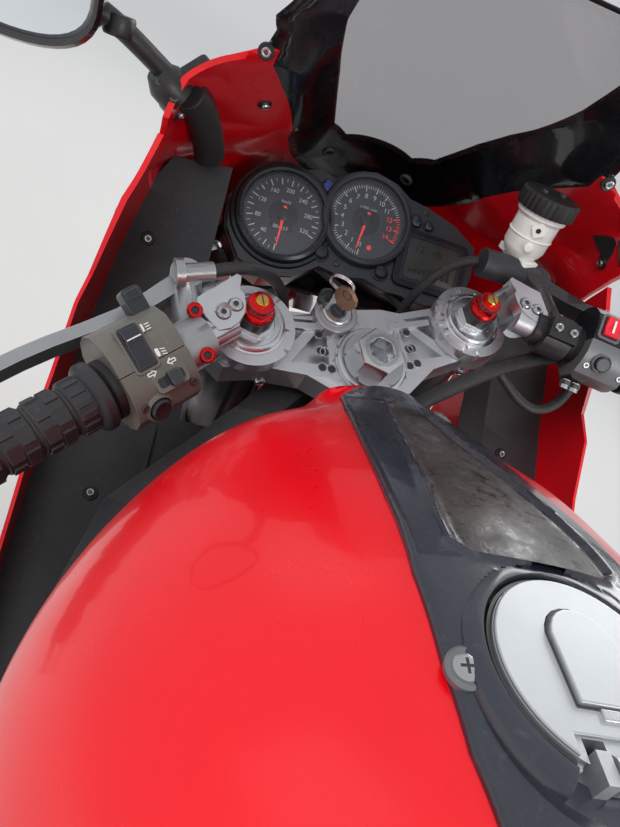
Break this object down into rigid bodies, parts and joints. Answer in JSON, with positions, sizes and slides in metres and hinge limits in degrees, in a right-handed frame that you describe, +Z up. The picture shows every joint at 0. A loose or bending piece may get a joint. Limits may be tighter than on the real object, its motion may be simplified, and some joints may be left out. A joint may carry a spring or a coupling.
{
  "type": "sport bike",
  "caption": "Fully faired sport bike leaning on its side stand with the steering turned left; the wheels, steering, stand and fuel lid move.",
  "frame": {"origin": "centre of the bounding box's footprint, on the ground", "axes": "+X forward, +Y to the rider's left, +Z up; the bike leans towards +Y on its side stand"},
  "size_m": [2.0639, 0.862, 1.1681],
  "materials": {
    "red_paint": "gloss",
    "black_plastic": "satin",
    "grey_plastic": "scuffed satin",
    "gloss_black": "gloss",
    "frame_alloy": "satin",
    "cast_alloy": "machined",
    "engine_paint": "satin black",
    "steel": "brushed",
    "disc_steel": "ground",
    "exhaust_steel": "heat tinted",
    "silencer_alloy": "brushed",
    "tyre": "matt",
    "rubber": "matt",
    "seat_cover": "grained",
    "screen": "smoked clear",
    "lamp_glass": "clear",
    "tail_red": "gloss",
    "reservoir": "translucent white",
    "wheel_paint": "satin black",
    "olive_plastic": "satin"
  },
  "bodies": {
    "chassis": {"frame": "frame_alloy", "subframe": "frame_alloy", "nose_stay": "black_plastic", "engine": "engine_paint", "radiator": "engine_paint", "exhaust_headers": "exhaust_steel", "silencer": "silencer_alloy", "fuel_tank": "red_paint", "tank_panel": "gloss_black", "filler_ring": "cast_alloy", "rider_seat": "seat_cover", "pillion_seat": "seat_cover", "tail_cowl": "red_paint", "tail_light": "tail_red", "rear_mudguard": "black_plastic", "upper_fairing": "red_paint", "side_fairing_left": "red_paint", "side_fairing_right": "red_paint", "lower_cowl": "red_paint", "windscreen": "screen", "headlight": "lamp_glass", "inner_panel_left": "grey_plastic", "inner_panel_right": "grey_plastic", "instrument_cluster": "black_plastic", "mirrors": "black_plastic", "swingarm": "frame_alloy", "rear_shock": "steel", "chain": "steel", "rear_caliper": "steel", "rear_axle": "steel", "footrests": "frame_alloy"},
    "steering": {"top_clamp": "cast_alloy", "lower_clamp": "cast_alloy", "fork_left": "cast_alloy", "fork_right": "cast_alloy", "front_axle": "steel", "front_mudguard": "red_paint", "clip_on_left": "cast_alloy", "clip_on_right": "cast_alloy", "grip_left": "rubber", "grip_right": "rubber", "switch_left": "olive_plastic", "switch_right": "black_plastic", "clutch_lever": "cast_alloy", "brake_lever": "cast_alloy", "brake_reservoir": "reservoir", "front_calipers": "steel", "ignition_lock": "steel", "clutch_cable": "rubber", "brake_hoses": "rubber", "wiring_loom": "rubber"},
    "front_wheel": {"front_rim": "wheel_paint", "front_tyre": "tyre", "front_discs": "disc_steel"},
    "rear_wheel": {"rear_rim": "wheel_paint", "rear_tyre": "tyre", "rear_disc": "disc_steel", "rear_sprocket": "steel"},
    "side_stand": {"side_stand": "steel"},
    "fuel_lid": {"fuel_lid": "cast_alloy"}
  },
  "joints": [
    {"name": "steering_turn", "type": "hinge", "parent": "chassis", "child": "steering", "pos_m": [0.45281, -0.0347, 0.86176], "axis": [-0.4035, 0.1746, 0.8982], "range_deg": [-38, 0]},
    {"name": "front_wheel_spin", "type": "hinge", "parent": "steering", "child": "front_wheel", "pos_m": [0.74234, -0.13545, 0.28883], "axis": [-0.2979, 0.9031, -0.3094], "continuous": true},
    {"name": "rear_wheel_spin", "type": "hinge", "parent": "chassis", "child": "rear_wheel", "pos_m": [-0.671, -0.14172, 0.31121], "axis": [0, 0.9816, -0.1908], "continuous": true},
    {"name": "side_stand_fold", "type": "hinge", "parent": "chassis", "child": "side_stand", "pos_m": [-0.09329, 0.01166, 0.19881], "axis": [0.1436, 0.9488, 0.2812], "range_deg": [0, 105]},
    {"name": "fuel_lid_open", "type": "hinge", "parent": "chassis", "child": "fuel_lid", "pos_m": [0.09398, -0.00991, 0.98932], "axis": [0, -0.9816, 0.1908], "range_deg": [0, 100]}
  ]
}
